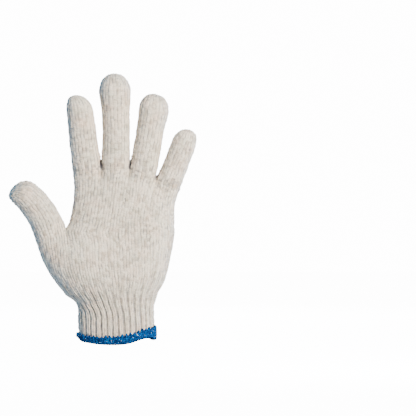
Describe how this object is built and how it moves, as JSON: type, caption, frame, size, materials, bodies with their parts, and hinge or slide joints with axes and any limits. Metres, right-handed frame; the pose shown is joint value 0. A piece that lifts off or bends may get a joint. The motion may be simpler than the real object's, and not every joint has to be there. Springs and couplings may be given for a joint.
{
  "type": "cotton work glove",
  "caption": "Seamless knitted natural cotton work glove in its worn form, left hand, with a ribbed cuff and a blue overlocked hem.",
  "frame": {"origin": "centre of the wrist opening, level with the lowest point of the hem", "axes": "+Z from the wrist to the fingertips, -Y out of the palm, -X towards the thumb"},
  "size_m": [0.1689, 0.0528, 0.2449],
  "materials": {
    "cotton_knit": "undyed cotton string knit, matt, with soft fibres",
    "overlock_thread": "blue overlock yarn, matt"
  },
  "bodies": {
    "root": {"index_finger": "cotton_knit", "middle_finger": "cotton_knit", "ring_finger": "cotton_knit", "little_finger": "cotton_knit", "thumb": "cotton_knit", "palm": "cotton_knit", "rib_cuff": "cotton_knit", "overlock_hem": "overlock_thread"}
  },
  "joints": []
}
